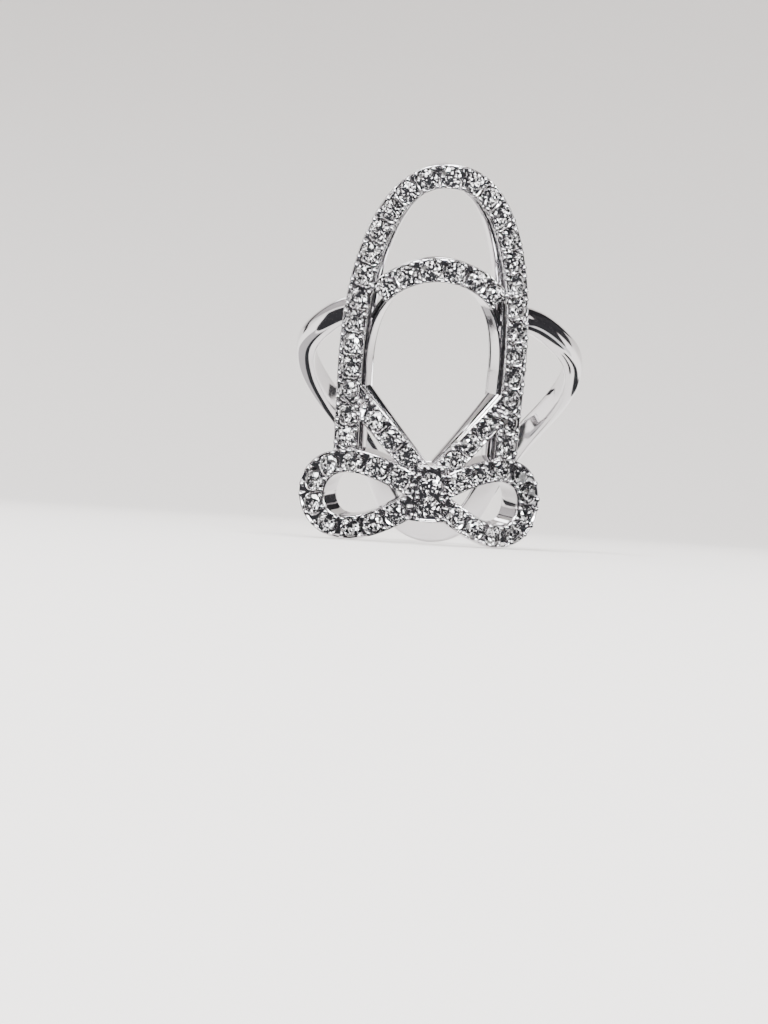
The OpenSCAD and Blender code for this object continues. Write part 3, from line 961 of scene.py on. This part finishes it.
def set_cards():
    """Painted reflections: cards that only the metal and the stones see, so that polished surfaces get the
    dark edges that a jewellery photographer sets cards for. The camera doesn't see them, and they cast no
    shadow."""
    dark, grey = card_paper("black_flocked_card", "#232325"), card_paper("grey_card", "#8e8c8d")
    # Curved cards: a profile of (radius, height), then the middle and half of their turn in degrees
    dome = [(0.95 * math.cos(t), 0.95 * math.sin(t)) for t in np.radians(np.linspace(14, 90, 14))]
    for name, profile, middle, half, material in (
        ("lower_card", [(0.0074, 0.0003), (0.3, 0.0003)], -90, 100, dark),
        ("upper_card", dome, -62, 117, dark),
        ("left_grey_card", [(0.6, 0.06), (0.5, 0.45)], 158, 40, grey),
        ("left_card", [(0.25, 0.0003), (0.25, 0.30)], 132, 5, dark),
        ("right_card", [(0.25, 0.0003), (0.25, 0.13)], 8, 23, dark),
        ("camera_card", [(0.5, 0.0003), (0.5, 0.14)], -96, 7, dark),
    ):
        turns = np.radians(np.linspace(middle - half, middle + half, 59))
        points, quads = revolved(profile, turns, False)
        seen_in_polish(name, new_mesh(name, points, quads), material)
    # Flat ones on the floor beside and behind the ring, by their corners and height in millimetres. They
    # paint dark and grey stripes, and a glowing patch, into the metal's reflections
    for name, corners, level, material in (
        ("left_floor_card", [(-8, 4), (-9, 45), (-32, 45), (-24, 4)], 0.5, grey),
        ("left_floor_strip", [(-10.8, 5), (-8.0, 5), (-8.0, 26), (-11.5, 26)], 0.8, dark),
        ("right_floor_strip", [(12.4, 6), (15.2, 5), (33, 33), (29, 36)], 0.8, dark),
        ("back_floor_strip", [(10, 9), (11.4, 8.6), (16, 30), (13.5, 30)], 0.8, dark),
        # A glowing pane that is no lamp: a painted bright reflection in the shank's right arm
        ("right_bright_card", [(20, -9), (30, -11), (30, 9), (20, 8)], 0.8, painted_glow("soft_pane", 1.6)),
    ):
        points = [(*corner, level) for corner in corners]
        seen_in_polish(name, new_mesh(name, points, [[0, 1, 2, 3]]), material)


def set_painted_glints():
    """Painted glints: a spread of small bright panes round the front that glow though they are no lamps,
    standing in for the lamps that a jeweller shows stones under.
    Only the stones, the beads, the bars and the knot see them. Each turn goes on from the last by a golden
    part of the spread, while the rise grows evenly, and the low panes come near to clear the floor. Half
    a pane's side is a part of its distance."""
    count, golden, far, half_side, drop = 40, 0.618034, 0.22, 0.021, 0.0105
    turn = np.radians(-90 + 160 * ((np.arange(count) * golden) % 1 - 0.5))
    rise = np.radians(np.linspace(-24, 62, count))
    near = drop / np.tan(np.maximum(-rise, 0.13))
    reach = np.where(rise < math.radians(1), near, far)
    level = reach * np.cos(rise)
    height = np.maximum(LOOK_H + reach * np.sin(rise), 0.0012)
    mid = np.stack([level * np.cos(turn), level * np.sin(turn), height], -1)
    out = mid - [0, 0, LOOK_H]
    distance = np.linalg.norm(out, axis=1)[:, None]
    out /= distance
    side = np.cross(out, [0, 0, 1])
    side /= np.linalg.norm(side, axis=1)[:, None]
    up = np.cross(side, out)
    corners = np.array([[-1, -1], [1, -1], [1, 1], [-1, 1]])
    square = side[:, None] * corners[:, :1] + up[:, None] * corners[:, 1:]
    points = mid[:, None] + square * distance[:, None] * half_side
    mesh = new_mesh("glint_points", points.reshape(-1, 3) / MM, np.arange(4 * count).reshape(-1, 4))
    panes = seen_in_polish("glint_points", mesh, painted_glow("bright_pane", 26.0))
    lit = bpy.data.collections.new("stones_and_beads")
    for thing in bpy.data.objects:
        if thing.name.endswith(("brilliants", "beads", "bar", "block")):
            lit.objects.link(thing)
    panes.light_linking.receiver_collection = lit


def turn_to(thing, place, look, up):
    """Puts a light or camera at a place, looking along a line, with its top towards up."""
    back = -np.asarray(look) / np.linalg.norm(look)
    side = np.cross(up, back)
    side /= np.linalg.norm(side)
    thing.location = place
    thing.rotation_euler = Matrix(np.stack([side, np.cross(back, side), back], -1).tolist()).to_euler()


def set_lights():
    """Soft square lamps round the ring, by place, size in metres and watts, under an even pale sky."""
    for name, place, size, watts in (
        ("key_light", (-0.24, -0.46, 0.44), 0.27, 9.0),
        ("front_light", (0.10, -0.62, 0.17), 0.14, 5.0),
        ("side_light", (0.50, -0.36, 0.12), 0.07, 1.8),
        ("spark_light", (-0.46, -0.40, 0.05), 0.04, 0.8),
        ("top_light", (0.12, 0.02, 0.72), 0.26, 5.5),
        ("back_light", (-0.25, 0.50, 0.50), 0.30, 2.0),
    ):
        data = bpy.data.lights.new(name, "AREA")
        data.shape = "SQUARE"
        data.size = size
        data.energy = watts
        lamp = bpy.data.objects.new(name, data)
        bpy.context.scene.collection.objects.link(lamp)
        turn_to(lamp, place, np.array([0, 0, LOOK_H]) - place, [0, 0, 1])
    world = bpy.data.worlds.new("studio")
    world.use_nodes = True
    sky = world.node_tree.nodes["Background"]
    sky.inputs["Color"].default_value = (*linear("#e2e1e0"), 1)
    sky.inputs["Strength"].default_value = 0.7
    bpy.context.scene.world = world


def set_camera():
    """The photo's view of the ring, by its angles and distance. The front's middle, halfway up the window,
    stands at the photo's own pixel."""
    frame_px, focal_px, px_a_mm = (768, 1024), 2720, 16
    target_px, target_h = (436.5, 350), 12.57
    distance, (azimuth, elevation, roll) = 0.170, np.radians([6.0, -3.5, 3.62])
    data = bpy.data.cameras.new("camera")
    data.sensor_width = 36.0
    data.lens = data.sensor_width * focal_px / frame_px[1]
    data.clip_start, data.clip_end = 0.002, 10
    camera = bpy.data.objects.new("camera", data)
    bpy.context.scene.collection.objects.link(camera)
    bpy.context.scene.camera = camera
    target = stand(on_bend(np.array(0.0), np.array(target_h), 0.0)) * MM
    level = np.array([math.sin(azimuth), math.cos(azimuth)]) * math.cos(elevation)
    look = np.array([*level, -math.sin(elevation)])
    right = np.cross(look, [0, 0, 1])
    right /= np.linalg.norm(right)
    up = np.cross(right, look)
    c, s = math.cos(roll), math.sin(roll)
    right, up = right * c + up * s, up * c - right * s
    off_right = (target_px[0] - frame_px[0] / 2) / px_a_mm * MM
    off_up = (frame_px[1] / 2 - target_px[1]) / px_a_mm * MM
    place = target - look * distance
    turn_to(camera, place, target - right * off_right - up * off_up - place, up)


class NAILRING_OT_stage(bpy.types.Operator):
    """Set the floor, the cards and glowing panes that paint reflections, the lights and the camera"""

    bl_idname = "nailring.stage"
    bl_label = "Stage"

    def execute(self, context):
        set_floor()
        set_cards()
        set_painted_glints()
        set_lights()
        set_camera()
        return {"FINISHED"}


class NAILRING_PT_panel(bpy.types.Panel):
    """The ring's sizes and the steps that build it"""

    bl_label = "Nail Ring"
    bl_space_type = "VIEW_3D"
    bl_region_type = "UI"
    bl_category = "Nail Ring"

    def draw(self, context):
        for key in GROUPS:
            group, box = getattr(context.scene, key), self.layout.box()
            for size in group.__annotations__:
                box.prop(group, size)
        for name in OPERATORS:
            self.layout.operator("nailring." + name)


OPERATORS = ("bars", "knot", "shank", "beads", "stones", "stage")
GROUPS = {
    "nail_front": FrontSizes, "nail_shank": ShankSizes, "nail_stones": StoneSizes, "nail_finishes": Finishes,
}
CLASSES = (
    *GROUPS.values(), NAILRING_OT_bars, NAILRING_OT_knot, NAILRING_OT_shank, NAILRING_OT_beads,
    NAILRING_OT_stones, NAILRING_OT_stage, NAILRING_PT_panel,
)


def register():
    """Registers the classes and gives the scene its groups of sizes."""
    for cls in CLASSES:
        bpy.utils.register_class(cls)
    for key, cls in GROUPS.items():
        setattr(bpy.types.Scene, key, PointerProperty(type=cls))


def unregister():
    """Takes the groups and the classes away again."""
    for key in GROUPS:
        delattr(bpy.types.Scene, key)
    for cls in reversed(CLASSES):
        bpy.utils.unregister_class(cls)


def main():
    """Registers the classes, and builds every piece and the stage."""
    register()
    for name in OPERATORS:
        getattr(bpy.ops.nailring, name)()


if __name__ == "__main__":
    main()
